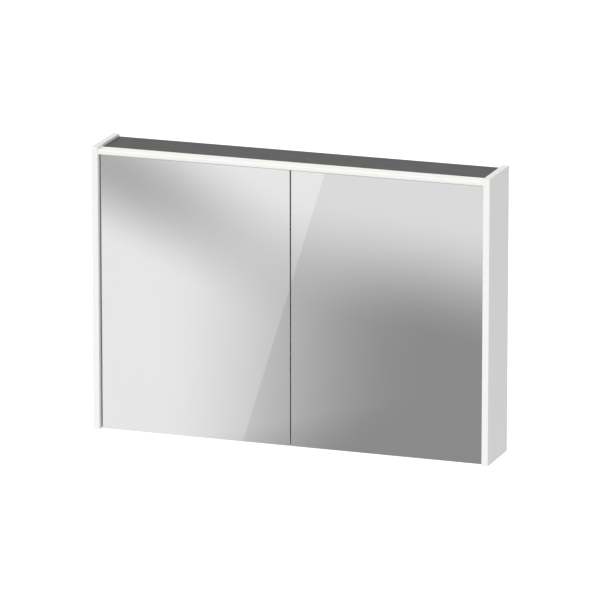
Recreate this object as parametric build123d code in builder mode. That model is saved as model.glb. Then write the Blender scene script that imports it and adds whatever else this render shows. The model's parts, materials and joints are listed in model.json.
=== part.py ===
from build123d import *
import os

# Wall-hung mirror cabinet with two doors and a light bar, in millimetres.
# X runs to the right, Y runs from the room into the wall, Z is up.
# The origin is on the wall plane, in the middle of the four wall screws.

# Overall sizes
cabinet_width = 1000.0
cabinet_height = 700.0
cabinet_depth = 148.0
board_thickness = 16.0
edge_round = 1.0
screw_drop = 120.0
fit_gap = 0.05
seat_gap = 0.3

# Doors
door_recess = 12.0
door_side_gap = 3.0
door_seam = 3.0
door_top_gap = 3.0
door_bottom_inset = 0.5
mirror_thickness = 4.0
core_thickness = 15.0
rear_mirror_thickness = 3.0
rear_mirror_border = 18.0
rear_mirror_hinge_strip = 58.0
glass_arris = 0.6
hinge_bevel = 6.0

# Carcass boards
board_setback = 5.5
bottom_raise = 12.0
service_height = 39.0
back_thickness = 4.0
wall_void = 16.0
groove_depth = 6.0
dowel_radius = 4.0
dowel_length = 30.0
dowel_short_end = 10.0
dowel_inset = 22.0

# Light bar and top cover
top_recess = 6.6
bar_height = 11.4
bar_depth = 33.0
bar_front_inset = 2.0
bar_wall = 2.0
bar_corner_round = 3.0
bar_lip = 1.5
end_cap_thickness = 2.0
led_board_width = 12.0
led_board_thickness = 1.6
led_chip_size = 3.5
led_chip_height = 0.8
led_chip_count = 24
rail_thickness = 2.0
rail_foot = 23.0
rail_screw_share = 0.83
cover_thickness = 1.5
cover_flange = 12.0
cover_screw_count = 3
cover_wall_gap = 1.0

# Hinges: a pin in the door turns in a gooseneck arm on the side panel
pivot_inset = 16.0
pivot_depth = 20.2
hinge_bottom_inset = 91.5
hinge_top_inset = 87.0
pin_radius = 2.0
bush_wall = 0.8
eye_wall = 0.95
arm_thickness = 5.0
arm_half_height = 9.0
arm_bend_radius = 7.0
arm_neck = (21.2, 39.0)
arm_foot_start = 57.0
arm_foot_end = 92.0
arm_screw_depths = (68.0, 84.0)
bush_proud = 0.8
notch_width = 21.0
notch_half_height = 12.0
shoe_thickness = 1.5
shoe_flange = 22.0
shoe_cheek_reach = 13.0
shoe_screw_spacing = 10.0
shoe_screw_inset = 7.0

# Door stops
magnet_radius = 5.0
magnet_length = 14.0
magnet_offset = 60.0
strike_width = 16.0
strike_thickness = 1.5
strike_corner_cut = 2.0
bumper_radius = 3.0
bumper_inset = 90.0

# Shelves
shelf_thickness = 5.0
shelf_side_gap = 1.5
shelf_setback = 14.0
shelf_back_gap = 1.0
shelf_corner_cut = 2.0
shelf_names = ("lower", "upper")
pin_hole_radius = 2.5
pin_hole_depth = 6.5
pin_hole_pitch = 32.0
pin_row_count = 3
pin_hole_sides = 8
pin_row_inset = 14.0
shelf_pin_nose = 8.0
shelf_pin_width = 7.0
shelf_pin_height = 3.5

# Electrics in the service space and in the right compartment
driver_size = (170.0, 42.0, 22.0)
driver_x = -150.0
driver_lug = 12.0
driver_lug_height = 3.0
terminal_size = (64.0, 42.0, 26.0)
terminal_x = 190.0
electrics_share = 0.55
gland_radius = 9.0
gland_length = 18.0
gland_nut_length = 6.0
gland_nut_sides = 6
gland_neck_radius = 7.6
gland_neck_sides = 12
gland_neck_taper = 10.0
gland_bore = 4.0
lead_radius = 2.5
lead_bend = 7.0
lead_tail = 28.0
led_lead_radius = 1.6
grommet_wall = 4.0
grommet_sides = 8
lead_sides = 6
unit_width = 120.0
unit_depth = 44.0
unit_height = 58.0
unit_wall = 2.5
unit_corner_round = 3.0
unit_edge_cut = 0.8
unit_side_gap = 3.0
socket_offset = 30.0
socket_radius = 19.5
socket_depth = 17.0
socket_rim = 3.0
socket_wall = 1.8
socket_pin_radius = 2.5
socket_pin_spacing = 19.0
rocker_offset = -32.0
rocker_width = 22.0
rocker_half_height = 15.5
rocker_tilt = 6.0
rocker_pivot_depth = 4.5
rocker_proud = 1.2
rocker_body = 5.0
rocker_pin_radius = 1.5
rocker_pin_length = 3.0
rocker_gap = 0.5
rocker_boss = 4.0
rocker_dish_radius = 62.0

# Hangers behind the back panel
plate_inset = 44.0
screw_spacing_z = 40.0
wall_screw_radius = 3.2
plate_width = 36.0
plate_thickness = 2.0
plate_margin = 12.0
plate_step = 7.5
plate_lip = 9.0
hook_thickness = 2.5
hook_height = 18.0
hook_seat_gap = 1.2
hook_end_gap = 5.0
hanger_width = 20.0
hanger_front_gap = 0.5
hanger_wall_gap = 1.0
hanger_margin = 8.0
adjuster_radius = 3.0
adjuster_spacing = 14.0
cap_margin = 4.0
cap_thickness = 1.5
cap_edge_cut = 0.5

# Fasteners
screw_radius = 1.75
screw_length = 12.0
screw_head_radius = 3.5
screw_head_height = 1.6
fastener_sides = 6

# Levels and limits worked out from the sizes above
half_width = cabinet_width / 2
inner_x = half_width - board_thickness
front_y = -cabinet_depth
top_z = screw_drop
bottom_z = top_z - cabinet_height
bar_top_z = top_z - top_recess
bar_bottom_z = bar_top_z - bar_height
bar_front_y = front_y + bar_front_inset
bar_back_y = bar_front_y + bar_depth
bar_half_length = inner_x - seat_gap - end_cap_thickness
door_top_z = bar_bottom_z - door_top_gap
door_bottom_z = bottom_z + door_bottom_inset
mirror_back_y = front_y + door_recess + mirror_thickness
core_back_y = mirror_back_y + core_thickness
board_front_y = core_back_y + board_setback
back_front_y = -wall_void - back_thickness
bottom_board_top = bottom_z + bottom_raise + board_thickness
top_board_top = top_z - service_height
top_board_bottom = top_board_top - board_thickness
bush_radius = pin_radius + fit_gap + bush_wall
eye_radius = bush_radius + eye_wall
pilot_radius = screw_radius + fit_gap
shelf_front_y = board_front_y + shelf_setback
shelf_back_y = back_front_y - shelf_back_gap
pin_row_ys = (shelf_front_y + pin_row_inset, shelf_back_y - pin_row_inset)
hinge_zs = (door_bottom_z + hinge_bottom_inset, door_top_z - hinge_top_inset)
electrics_y = bar_back_y * electrics_share
screw_spacing_x = 2 * (inner_x - plate_inset)
sides = (-1, 1)
side_names = {-1: "left", 1: "right"}

os.makedirs("parts", exist_ok=True)


def save(builder, label):
    """Label a finished piece and write it."""
    builder.part.label = label
    export_step(builder.part, f"parts/{label}.step")


def slab(x, y, z, mode=Mode.ADD):
    """A block between two limits on each axis, for the part being built."""
    with Locations(((x[0] + x[1]) / 2, (y[0] + y[1]) / 2, (z[0] + z[1]) / 2)):
        Box(abs(x[1] - x[0]), abs(y[1] - y[0]), abs(z[1] - z[0]), mode=mode)


def bore(seats, radius, depth):
    """Round blind holes into the faces that the seat planes lie on."""
    for place in seats:
        with Locations(place):
            Hole(radius, depth)


def drill(seats, radius, depth, flats=fastener_sides):
    """Holes for the many small fasteners, cut with a few flats each."""
    with BuildSketch(*seats) as outline:
        RegularPolygon(radius, flats)
    extrude(outline.sketch, amount=-depth, mode=Mode.SUBTRACT)


def round_pins(seats, radius, depth, proud=0.0):
    """Round pins that go into the seats by a depth and stand out by another."""
    for place in seats:
        with Locations(place.offset(proud)):
            Cylinder(radius, depth + proud, align=(Align.CENTER, Align.CENTER, Align.MAX))


def pegs(seats, radius, depth, proud=0.0, flats=fastener_sides):
    """Pegs with a few flats each, to fit holes made by drill."""
    with BuildSketch(*[place.offset(proud) for place in seats]) as outline:
        RegularPolygon(radius, flats)
    extrude(outline.sketch, amount=-depth - proud)


def screws(seats, length=screw_length):
    """Screws with flat heads resting on the seat planes."""
    with BuildPart() as group:
        pegs(seats, screw_radius, length)
        pegs(seats, screw_head_radius, 0, screw_head_height)
    return group


def seat(point, outward):
    """A plane on a face, looking out of it."""
    return Plane(origin=point, z_dir=outward)


def plan(side, inset, depth):
    """A point in plan, from the inner face and the front edge of one side panel."""
    return (side * (inner_x - inset), front_y + depth)


# Places that two or more pieces share
dowel_ys = (board_front_y + dowel_inset, back_front_y - dowel_inset)
board_mid_zs = (bottom_board_top - board_thickness / 2, top_board_top - board_thickness / 2)


def side_dowels(side):
    """Seats of the dowels on the inner face of a side panel."""
    return [seat((side * inner_x, y, z), (-side, 0, 0)) for y in dowel_ys for z in board_mid_zs]


def end_dowels(side, mid_z):
    """Seats of the dowels on one end of a board."""
    return [seat((side * inner_x, y, mid_z), (side, 0, 0)) for y in dowel_ys]


def face_dowels(face_z, up):
    """Seats of the divider's dowels on the inner face of a board."""
    return [seat((0, y, face_z), (0, 0, up)) for y in dowel_ys]


divider_dowels = face_dowels(bottom_board_top, 1) + face_dowels(top_board_bottom, -1)
bay_height = top_board_bottom - bottom_board_top
shelf_step = bay_height / (len(shelf_names) + 1)
used_pin_zs = [bottom_board_top + shelf_step * (index + 1) for index in range(len(shelf_names))]
pin_row_offsets = [pin_hole_pitch * (step - (pin_row_count - 1) / 2) for step in range(pin_row_count)]
all_pin_zs = [z + offset for z in used_pin_zs for offset in pin_row_offsets]
shelf_bottoms = [z + shelf_pin_height / 2 for z in used_pin_zs]


def pin_holes(face_x, outward, heights):
    """Seats of shelf pin holes on an upright face."""
    return [seat((face_x, y, z), (outward, 0, 0)) for y in pin_row_ys for z in heights]


compartment_faces = ((-inner_x, 1), (-board_thickness / 2, -1), (board_thickness / 2, 1), (inner_x, -1))


def arm_seats(side, inset):
    """Seats of the arm screws, on the panel or on the arm's foot."""
    return [
        seat((*plan(side, inset, depth), z), (-side, 0, 0)) for depth in arm_screw_depths for z in hinge_zs
    ]


cover_screw_pitch = (-bar_back_y - 2 * dowel_inset) / (cover_screw_count - 1)
cover_screw_ys = [bar_back_y + dowel_inset + step * cover_screw_pitch for step in range(cover_screw_count)]
cover_screw_z = bar_top_z - cover_flange / 2 - cover_thickness / 2


def cover_seats(side, inset):
    """Seats of the cover screws, on the panel or on the cover's flange."""
    return [seat((side * (inner_x - inset), y, cover_screw_z), (-side, 0, 0)) for y in cover_screw_ys]


plate_top_z = screw_spacing_z / 2 + plate_margin
hook_bottom_z = plate_top_z + plate_thickness
hook_top_z = hook_bottom_z + hook_height
hanger_bottom_z = hook_bottom_z - hanger_margin
hanger_top_z = hook_top_z + hanger_margin
hanger_screw_zs = (hanger_bottom_z + hanger_margin / 2, hanger_top_z - hanger_margin / 2)
hanger_mid_y = -wall_void / 2
hatch_z = (hook_bottom_z + hook_top_z) / 2


def hanger_seats(side, inset):
    """Seats of the hanger screws, on the panel or on the hanger's body."""
    return [seat((side * (inner_x - inset), hanger_mid_y, z), (-side, 0, 0)) for z in hanger_screw_zs]


def adjuster_seats(side, depth_y):
    """Seats of a hanger's two adjusting screws, looking into the cabinet."""
    x = side * (inner_x - hanger_width / 2)
    heights = [hatch_z + half * adjuster_spacing / 2 for half in sides]
    return [seat((x, depth_y, z), (0, -1, 0)) for z in heights]


# Side panels
for side in sides:
    with BuildPart() as side_panel:
        slab((side * inner_x, side * half_width), (front_y, 0), (bottom_z, top_z))
        front_edges = side_panel.edges().filter_by(Axis.Z).group_by(Axis.Y)[0]
        fillet(front_edges, edge_round)
        slab(
            (side * inner_x, side * (inner_x + groove_depth)),
            (back_front_y, -wall_void),
            (bottom_board_top - board_thickness, top_board_top),
            Mode.SUBTRACT,
        )
        drill(side_dowels(side), dowel_radius, dowel_short_end)
        shelf_holes = pin_holes(side * inner_x, -side, all_pin_zs)
        drill(shelf_holes, pin_hole_radius + fit_gap, pin_hole_depth, pin_hole_sides)
        drill(arm_seats(side, 0), pilot_radius, screw_length)
        drill(cover_seats(side, 0), pilot_radius, screw_length)
        drill(hanger_seats(side, 0), pilot_radius, screw_length)
    save(side_panel, f"{side_names[side]}_side_panel")

# Boards between the side panels
unit_x = board_thickness / 2 + unit_side_gap + unit_width / 2
lead_hole_x = unit_x
lead_hole_y = back_front_y - unit_depth / 2
lead_hole_radius = lead_radius + 2 * seat_gap
grommet_radius = lead_radius + grommet_wall
lead_hole_seat = seat((lead_hole_x, lead_hole_y, top_board_top), (0, 0, 1))
top_board_mid = top_board_top - board_thickness / 2
magnet_seats = [seat((side * magnet_offset, board_front_y, top_board_mid), (0, -1, 0)) for side in sides]
rail_half_length = inner_x - cover_thickness - 2 * seat_gap
rail_screw_x = rail_half_length * rail_screw_share
rail_back_y = bar_back_y + rail_thickness
rail_screw_y = rail_back_y + rail_foot / 2
rail_seats = [seat((x, rail_screw_y, top_board_top), (0, 0, 1)) for x in (-rail_screw_x, 0, rail_screw_x)]
driver_lug_x = driver_size[0] / 2 + driver_lug / 2
driver_seats = [seat((driver_x + end * driver_lug_x, electrics_y, top_board_top), (0, 0, 1)) for end in sides]
unit_front_y = back_front_y - unit_depth
unit_centre_z = top_board_bottom - unit_height / 2

board_levels = (
    ("bottom_board", bottom_board_top, bottom_board_top, 1),
    ("top_board", top_board_top, top_board_bottom, -1),
)
for board_name, board_top, inner_z, up in board_levels:
    with BuildPart() as board:
        slab((-inner_x, inner_x), (board_front_y, back_front_y), (board_top - board_thickness, board_top))
        fillet(board.edges().filter_by(Axis.X).group_by(Axis.Y)[0], edge_round)
        for side in sides:
            board_ends = end_dowels(side, board_top - board_thickness / 2)
            drill(board_ends, dowel_radius, dowel_length - dowel_short_end)
        drill(face_dowels(inner_z, up), dowel_radius, dowel_short_end)
        if board_name == "top_board":
            bore(magnet_seats, magnet_radius, magnet_length)
            drill(rail_seats, pilot_radius, screw_length)
            drill(driver_seats, pilot_radius, screw_length)
            drill([lead_hole_seat], grommet_radius, board_thickness, grommet_sides)
    save(board, board_name)

with BuildPart() as centre_divider:
    slab(
        (-board_thickness / 2, board_thickness / 2),
        (board_front_y, back_front_y),
        (bottom_board_top, top_board_bottom),
    )
    fillet(centre_divider.edges().filter_by(Axis.Z).group_by(Axis.Y)[0], edge_round)
    divider_ends = [seat(place.origin, -place.z_dir) for place in divider_dowels]
    drill(divider_ends, dowel_radius, dowel_length - dowel_short_end)
    for side in sides:
        shelf_holes = pin_holes(side * board_thickness / 2, side, all_pin_zs)
        drill(shelf_holes, pin_hole_radius + fit_gap, pin_hole_depth, pin_hole_sides)
save(centre_divider, "centre_divider")

with BuildPart() as carcass_dowels:
    for side in sides:
        pegs(side_dowels(side), dowel_radius, dowel_short_end, dowel_length - dowel_short_end)
    pegs(divider_dowels, dowel_radius, dowel_short_end, dowel_length - dowel_short_end)
save(carcass_dowels, "carcass_dowels")

# Back panel with an access hole in front of each hanger
hatch_width = hanger_width - cap_margin
hatch_height = adjuster_spacing + 2 * adjuster_radius + 2 * cap_margin
hatch_x = inner_x - hanger_width / 2
with BuildPart() as back_panel:
    slab(
        (-inner_x - groove_depth, inner_x + groove_depth),
        (back_front_y, -wall_void),
        (bottom_board_top - board_thickness, top_board_top),
    )
    with BuildSketch(Plane.XZ.offset(wall_void)):
        with Locations((-hatch_x, hatch_z), (hatch_x, hatch_z)):
            Rectangle(hatch_width, hatch_height)
    extrude(amount=back_thickness, mode=Mode.SUBTRACT)
save(back_panel, "back_panel")

with BuildPart() as back_caps:
    with BuildSketch(Plane.XZ.offset(-back_front_y)):
        with Locations((-hatch_x, hatch_z), (hatch_x, hatch_z)):
            Rectangle(hatch_width + cap_margin / 2, hatch_height + 2 * cap_margin)
    extrude(amount=cap_thickness)
    chamfer(back_caps.faces().sort_by(Axis.Y)[:2].edges(), cap_edge_cut)
    with BuildSketch(Plane.XZ.offset(-back_front_y)):
        with Locations((-hatch_x, hatch_z), (hatch_x, hatch_z)):
            Rectangle(hatch_width - seat_gap, hatch_height - seat_gap)
    extrude(amount=-back_thickness / 2)
save(back_caps, "back_panel_caps")

# Doors
for side in sides:
    side_name = side_names[side]
    hinge_edge_x = side * (inner_x - door_side_gap)
    free_edge_x = side * door_seam / 2
    pivot = plan(side, pivot_inset, pivot_depth)
    notch_end_x = hinge_edge_x - side * notch_width
    shoe_screw_xs = [
        notch_end_x - side * (shoe_screw_inset + step * shoe_screw_spacing) for step in range(2)
    ]
    shoe_back_y = core_back_y + shoe_thickness
    core_screw_seats = [seat((x, core_back_y, z), (0, 1, 0)) for x in shoe_screw_xs for z in hinge_zs]
    shoe_screw_seats = [s.offset(shoe_thickness) for s in core_screw_seats]

    with BuildPart() as front_mirror:
        slab(
            (hinge_edge_x, free_edge_x),
            (front_y + door_recess, mirror_back_y),
            (door_bottom_z, door_top_z),
        )
        chamfer(front_mirror.faces().sort_by(Axis.Y)[0].edges(), glass_arris)
    save(front_mirror, f"{side_name}_front_mirror")

    with BuildPart() as door_core:
        slab((hinge_edge_x, free_edge_x), (mirror_back_y, core_back_y), (door_bottom_z, door_top_z))
        rear_edges = door_core.edges().filter_by(Axis.Z).group_by(Axis.Y)[-1]
        chamfer(rear_edges.sort_by(Axis.X)[0 if side < 0 else -1], hinge_bevel)
        for z in hinge_zs:
            slab(
                (hinge_edge_x, notch_end_x),
                (mirror_back_y, core_back_y),
                (z - notch_half_height, z + notch_half_height),
                Mode.SUBTRACT,
            )
        drill(core_screw_seats, pilot_radius, screw_length - shoe_thickness)
    save(door_core, f"{side_name}_door_core")

    with BuildPart() as rear_mirror:
        slab(
            (hinge_edge_x - side * rear_mirror_hinge_strip, free_edge_x + side * rear_mirror_border),
            (core_back_y, core_back_y + rear_mirror_thickness),
            (bottom_board_top + rear_mirror_border, top_board_bottom - rear_mirror_border),
        )
        chamfer(rear_mirror.faces().sort_by(Axis.Y)[-1].edges(), glass_arris)
    save(rear_mirror, f"{side_name}_rear_mirror")

    with BuildPart() as strike_plate:
        strike_x = side * magnet_offset
        slab(
            (strike_x - strike_width / 2, strike_x + strike_width / 2),
            (core_back_y, core_back_y + strike_thickness),
            (top_board_mid - strike_width / 2, top_board_mid + strike_width / 2),
        )
        chamfer(strike_plate.edges().filter_by(Axis.Y), strike_corner_cut)
    save(strike_plate, f"{side_name}_strike_plate")

    # Hinge shoes let into the door, with cheeks for the pin and a screwed flange
    cheek_inner = notch_half_height - seat_gap - shoe_thickness
    with BuildPart() as hinge_shoes:
        for z in hinge_zs:
            cheek_bottoms = (z - cheek_inner - shoe_thickness, z + cheek_inner)
            for cheek_z in cheek_bottoms:
                with BuildSketch(Plane.XY.offset(cheek_z)):
                    with BuildLine():
                        tip_x = notch_end_x + side * shoe_cheek_reach
                        Polyline(
                            (notch_end_x, mirror_back_y + seat_gap),
                            (tip_x, mirror_back_y + seat_gap),
                            (tip_x, pivot[1] + eye_radius),
                            (notch_end_x + side * shoe_thickness, core_back_y),
                            (notch_end_x, core_back_y),
                            close=True,
                        )
                    make_face()
                extrude(amount=shoe_thickness)
            web_z = (z - cheek_inner - shoe_thickness, z + cheek_inner + shoe_thickness)
            web_x = (notch_end_x, notch_end_x + side * shoe_thickness)
            slab(web_x, (mirror_back_y + seat_gap, shoe_back_y), web_z)
            slab((notch_end_x, notch_end_x - side * shoe_flange), (core_back_y, shoe_back_y), web_z)
            bore([seat((*pivot, web_z[1]), (0, 0, 1))], pin_radius, web_z[1] - web_z[0])
        drill(shoe_screw_seats, pilot_radius, shoe_thickness)
    save(hinge_shoes, f"{side_name}_hinge_shoes")
    save(screws(shoe_screw_seats), f"{side_name}_shoe_screws")

    with BuildPart() as hinge_pins:
        pin_half = cheek_inner + shoe_thickness
        round_pins([seat((*pivot, z), (0, 0, 1)) for z in hinge_zs], pin_radius, pin_half, pin_half)
    save(hinge_pins, f"{side_name}_hinge_pins")

    # Gooseneck arm from the side panel to the pin
    with BuildPart() as hinge_arms:
        for z in hinge_zs:
            with BuildSketch(Plane.XY.offset(z - arm_half_height)):
                with BuildLine():
                    FilletPolyline(
                        pivot,
                        plan(side, *arm_neck),
                        plan(side, arm_thickness / 2, arm_foot_start),
                        plan(side, arm_thickness / 2, arm_foot_end),
                        radius=arm_bend_radius,
                    )
                trace(line_width=arm_thickness)
                with Locations(pivot):
                    Circle(eye_radius)
                    Circle(bush_radius, mode=Mode.SUBTRACT)
            extrude(amount=2 * arm_half_height)
        drill(arm_seats(side, arm_thickness), pilot_radius, arm_thickness)
    save(hinge_arms, f"{side_name}_hinge_arms")

with BuildPart() as hinge_bushes:
    for side in sides:
        for z in hinge_zs:
            with BuildSketch(Plane.XY.offset(z - arm_half_height - bush_proud)):
                with Locations(plan(side, pivot_inset, pivot_depth)):
                    Circle(bush_radius)
                    Circle(pin_radius + fit_gap, mode=Mode.SUBTRACT)
            extrude(amount=2 * (arm_half_height + bush_proud))
save(hinge_bushes, "hinge_bushes")

all_arm_seats = [s for side in sides for s in arm_seats(side, arm_thickness)]
save(screws(all_arm_seats, screw_length + arm_thickness - fit_gap), "hinge_arm_screws")

# Door stops on the carcass
with BuildPart() as door_magnets:
    magnet_proud = board_setback - strike_thickness - seat_gap
    round_pins(magnet_seats, magnet_radius, magnet_length, magnet_proud)
save(door_magnets, "door_magnets")

with BuildPart() as door_bumpers:
    bumper_seats = [
        seat((side * board_thickness / 4, board_front_y, z), (0, -1, 0))
        for side in sides
        for z in (bottom_board_top + bumper_inset, top_board_bottom - bumper_inset)
    ]
    pegs(bumper_seats, bumper_radius, 0, board_setback - seat_gap)
save(door_bumpers, "door_bumpers")

# Glass shelves on pins
for side in sides:
    for shelf_name, shelf_z in zip(shelf_names, shelf_bottoms):
        with BuildPart() as shelf:
            slab(
                (side * (board_thickness / 2 + shelf_side_gap), side * (inner_x - shelf_side_gap)),
                (shelf_front_y, shelf_back_y),
                (shelf_z, shelf_z + shelf_thickness),
            )
            chamfer(shelf.edges().filter_by(Axis.Z), shelf_corner_cut)
            chamfer(shelf.faces().filter_by(Axis.Z).edges(), glass_arris)
        save(shelf, f"{side_names[side]}_{shelf_name}_shelf")

with BuildPart() as shelf_pins:
    for face_x, outward in compartment_faces:
        for pin_seat in pin_holes(face_x, outward, used_pin_zs):
            pegs([pin_seat], pin_hole_radius, pin_hole_depth, flats=pin_hole_sides)
            y, z = pin_seat.origin.Y, pin_seat.origin.Z
            slab(
                (face_x, face_x + outward * shelf_pin_nose),
                (y - shelf_pin_width / 2, y + shelf_pin_width / 2),
                (z - shelf_pin_height / 2, z + shelf_pin_height / 2),
            )
save(shelf_pins, "shelf_pins")

# Light bar: an aluminium channel closed by an opal cover that wraps the front and the top
with BuildPart() as light_bar_housing:
    with BuildSketch(Plane.YZ.offset(-bar_half_length)):
        with BuildLine():
            Polyline(
                (bar_front_y, bar_bottom_z),
                (bar_back_y, bar_bottom_z),
                (bar_back_y, bar_top_z - bar_wall),
                (bar_back_y - bar_wall, bar_top_z - bar_wall),
                (bar_back_y - bar_wall, bar_bottom_z + bar_wall),
                (bar_front_y + bar_wall + bar_lip + seat_gap, bar_bottom_z + bar_wall),
                (bar_front_y + bar_wall + bar_lip + seat_gap, bar_bottom_z + bar_wall + bar_lip),
                (bar_front_y + bar_wall + seat_gap, bar_bottom_z + bar_wall + bar_lip),
                (bar_front_y + bar_wall + seat_gap, bar_bottom_z + bar_wall),
                (bar_front_y, bar_bottom_z + bar_wall),
                close=True,
            )
        make_face()
    extrude(amount=2 * bar_half_length)
    led_hole_z = (bar_bottom_z + bar_top_z) / 2
    led_hole_radius = led_lead_radius + 2 * seat_gap
    drill([seat((0, bar_back_y, led_hole_z), (0, 1, 0))], led_hole_radius, bar_wall)
save(light_bar_housing, "light_bar_housing")

with BuildPart() as light_diffuser:
    with BuildSketch(Plane.YZ.offset(-bar_half_length)):
        with BuildLine():
            Polyline(
                (bar_front_y, bar_bottom_z + bar_wall),
                (bar_front_y, bar_top_z),
                (bar_back_y, bar_top_z),
                (bar_back_y, bar_top_z - bar_wall),
                (bar_front_y + bar_wall, bar_top_z - bar_wall),
                (bar_front_y + bar_wall, bar_bottom_z + bar_wall),
                close=True,
            )
        make_face()
    extrude(amount=2 * bar_half_length)
    long_edges = light_diffuser.edges().filter_by(Axis.X)
    fillet(long_edges.group_by(Axis.Z)[-1].sort_by(Axis.Y)[0], bar_corner_round)
save(light_diffuser, "light_diffuser")

with BuildPart() as light_end_caps:
    for side in sides:
        slab(
            (side * bar_half_length, side * (bar_half_length + end_cap_thickness)),
            (bar_front_y, bar_back_y),
            (bar_bottom_z, bar_top_z),
        )
    cap_edges = light_end_caps.edges().filter_by(Axis.X).group_by(Axis.Z)[-1].group_by(Axis.Y)[0]
    fillet(cap_edges, bar_corner_round)
save(light_end_caps, "light_end_caps")

led_board_y = (bar_front_y + bar_back_y) / 2
led_board_top = bar_bottom_z + bar_wall + led_board_thickness
with BuildPart() as led_board:
    slab(
        (-bar_half_length + bar_wall, bar_half_length - bar_wall),
        (led_board_y - led_board_width / 2, led_board_y + led_board_width / 2),
        (bar_bottom_z + bar_wall, led_board_top),
    )
save(led_board, "led_board")

led_chip_pitch = 2 * (bar_half_length - bar_wall) / led_chip_count
with BuildPart() as led_chips:
    with BuildSketch(Plane.XY.offset(led_board_top)):
        with Locations((0, led_board_y)):
            with GridLocations(led_chip_pitch, led_board_width, led_chip_count, 1):
                Rectangle(led_chip_size, led_chip_size)
    extrude(amount=led_chip_height)
save(led_chips, "led_chips")

# Rail that carries the light bar and closes the space under it
with BuildPart() as light_rail:
    with BuildSketch(Plane.YZ.offset(-rail_half_length)):
        with BuildLine():
            Polyline(
                (bar_back_y, top_board_top),
                (rail_back_y + rail_foot, top_board_top),
                (rail_back_y + rail_foot, top_board_top + rail_thickness),
                (rail_back_y, top_board_top + rail_thickness),
                (rail_back_y, bar_top_z - 2 * bar_wall),
                (bar_back_y, bar_top_z - 2 * bar_wall),
                close=True,
            )
        make_face()
    extrude(amount=2 * rail_half_length)
    drill([s.offset(rail_thickness) for s in rail_seats], pilot_radius, rail_thickness)
    drill([seat((0, rail_back_y, led_hole_z), (0, 1, 0))], led_hole_radius, rail_thickness)
save(light_rail, "light_rail")
save(screws([s.offset(rail_thickness) for s in rail_seats]), "rail_screws")

# Folded top cover behind the light bar
cover_half_width = inner_x - seat_gap
with BuildPart() as top_cover:
    with BuildSketch(Plane.XZ.offset(cover_wall_gap)):
        with BuildLine():
            inner_half = cover_half_width - cover_thickness
            Polyline(
                (-cover_half_width, bar_top_z - cover_flange - cover_thickness),
                (-cover_half_width, bar_top_z),
                (cover_half_width, bar_top_z),
                (cover_half_width, bar_top_z - cover_flange - cover_thickness),
                (inner_half, bar_top_z - cover_flange - cover_thickness),
                (inner_half, bar_top_z - cover_thickness),
                (-inner_half, bar_top_z - cover_thickness),
                (-inner_half, bar_top_z - cover_flange - cover_thickness),
                close=True,
            )
        make_face()
    extrude(amount=-bar_back_y - seat_gap - cover_wall_gap)
    for side in sides:
        drill(cover_seats(side, seat_gap + cover_thickness), pilot_radius, cover_thickness)
save(top_cover, "top_cover")
all_cover_seats = [s for side in sides for s in cover_seats(side, seat_gap + cover_thickness)]
save(screws(all_cover_seats), "cover_screws")

# Driver and terminal box on the top board
driver_low = driver_x - driver_size[0] / 2
driver_top = top_board_top + driver_size[2]
with BuildPart() as led_driver:
    slab(
        (driver_low, driver_low + driver_size[0]),
        (electrics_y - driver_size[1] / 2, electrics_y + driver_size[1] / 2),
        (top_board_top, driver_top),
    )
    chamfer(led_driver.edges().filter_by(Axis.Z), edge_round)
    chamfer(led_driver.faces().sort_by(Axis.Z)[-1].edges(), edge_round)
    slab(
        (driver_low - driver_lug, driver_low + driver_size[0] + driver_lug),
        (electrics_y - driver_lug / 2, electrics_y + driver_lug / 2),
        (top_board_top, top_board_top + driver_lug_height),
    )
    drill([s.offset(driver_lug_height) for s in driver_seats], pilot_radius, driver_lug_height)
save(led_driver, "led_driver")
save(screws([s.offset(driver_lug_height) for s in driver_seats]), "driver_screws")

terminal_back_y = electrics_y + terminal_size[1] / 2
terminal_mid_z = top_board_top + terminal_size[2] / 2
with BuildPart() as terminal_box:
    slab(
        (terminal_x - terminal_size[0] / 2, terminal_x + terminal_size[0] / 2),
        (terminal_back_y - terminal_size[1], terminal_back_y),
        (top_board_top, top_board_top + terminal_size[2]),
    )
    chamfer(terminal_box.edges().filter_by(Axis.Z), edge_round)
    chamfer(terminal_box.faces().sort_by(Axis.Z)[-1].edges(), edge_round)
save(terminal_box, "terminal_box")

with BuildPart() as cable_gland:
    with BuildSketch(Plane.XZ.offset(-terminal_back_y)):
        with Locations((terminal_x, terminal_mid_z)):
            RegularPolygon(gland_radius, gland_nut_sides)
    extrude(amount=-gland_nut_length)
    with BuildSketch(seat((terminal_x, terminal_back_y + gland_nut_length, terminal_mid_z), (0, 1, 0))):
        RegularPolygon(gland_neck_radius, gland_neck_sides)
    extrude(amount=gland_length - gland_nut_length, taper=gland_neck_taper)
    gland_mouth = seat((terminal_x, terminal_back_y + gland_length, terminal_mid_z), (0, 1, 0))
    bore([gland_mouth], gland_bore, gland_length)
save(cable_gland, "cable_gland")

# Leads between the electrical pieces
lead_exit_z = top_board_top + driver_size[2] / 2
driver_end_x = driver_low + driver_size[0]
with BuildPart() as led_lead:
    with BuildLine() as led_route:
        FilletPolyline(
            (driver_end_x, electrics_y + driver_size[1] / 4, lead_exit_z),
            (0, electrics_y + driver_size[1] / 4, lead_exit_z),
            (0, rail_back_y + lead_tail, led_hole_z),
            (0, bar_back_y - bar_wall, led_hole_z),
            radius=lead_bend,
        )
    with BuildSketch(Plane(origin=led_route.line @ 0, z_dir=led_route.line % 0)):
        RegularPolygon(led_lead_radius, lead_sides)
    sweep(path=led_route.line)
save(led_lead, "led_lead")

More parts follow.
